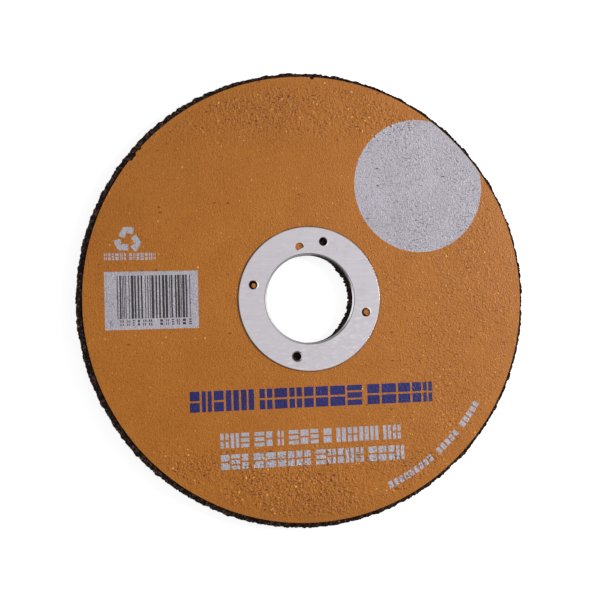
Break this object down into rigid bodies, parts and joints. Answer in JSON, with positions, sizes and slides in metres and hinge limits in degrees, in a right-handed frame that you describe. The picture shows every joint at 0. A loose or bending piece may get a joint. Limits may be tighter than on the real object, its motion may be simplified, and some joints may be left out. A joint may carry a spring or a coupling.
{
  "type": "cut off wheel",
  "caption": "Flat round abrasive cutting wheel for an angle grinder, with a printed paper label and a pressed steel ring round its bore.",
  "frame": {"origin": "on the bore's axis, at the back face that the wheel lies on", "axes": "+Z along the bore's axis towards the label, +X in the reading direction of the print, +Y up the print"},
  "size_m": [0.115, 0.115, 0.0034],
  "materials": {
    "abrasive": "rough",
    "label": "satin",
    "ring": "satin"
  },
  "bodies": {
    "root": {"abrasive_disc": "abrasive", "paper_label": "label", "centre_ring": "ring"}
  },
  "joints": []
}
